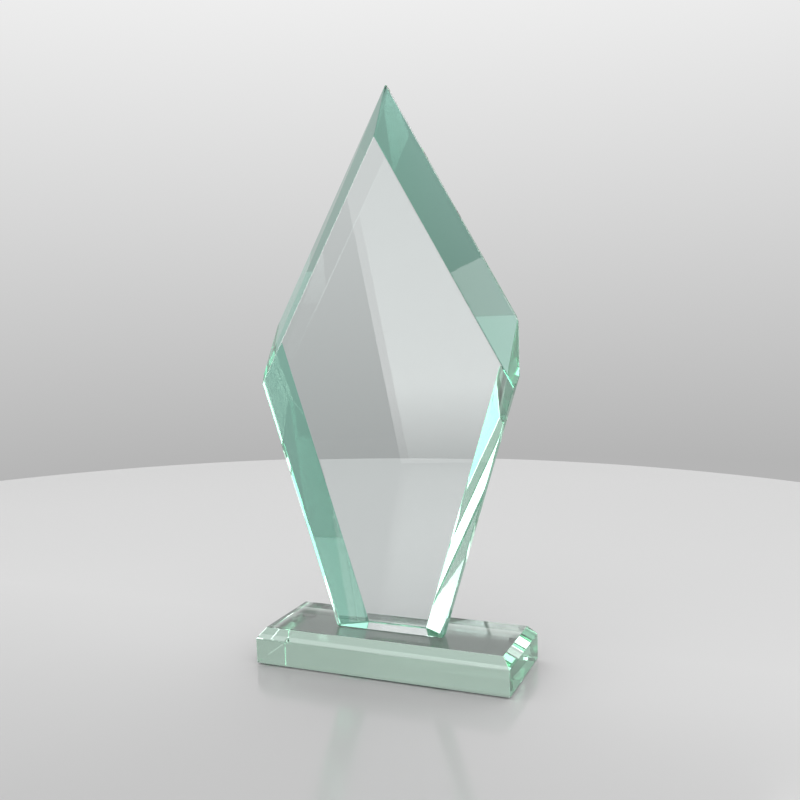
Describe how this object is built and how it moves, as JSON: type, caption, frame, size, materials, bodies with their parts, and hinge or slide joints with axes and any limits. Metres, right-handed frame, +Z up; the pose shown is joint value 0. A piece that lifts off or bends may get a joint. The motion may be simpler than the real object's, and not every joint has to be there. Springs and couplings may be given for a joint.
{
  "type": "glass award",
  "caption": "Upright five-sided jade glass blade with bevelled edges, glued on a bevelled oblong glass base that stands on bumper pads.",
  "frame": {"origin": "on the table, under the centre of the base", "axes": "+Z up, -Y towards the front, where the engraving would be, +X to the right as seen from the front"},
  "size_m": [0.144, 0.054, 0.3042],
  "materials": {
    "base_glass": "polished",
    "blade_glass": "polished",
    "clear_adhesive": "clear, gloss",
    "clear_rubber": "translucent, satin"
  },
  "bodies": {
    "root": {"glass_base": "base_glass", "glass_blade": "blade_glass", "adhesive_film": "clear_adhesive", "bumper_pad_front_left": "clear_rubber", "bumper_pad_front_right": "clear_rubber", "bumper_pad_back_left": "clear_rubber", "bumper_pad_back_right": "clear_rubber"}
  },
  "joints": []
}
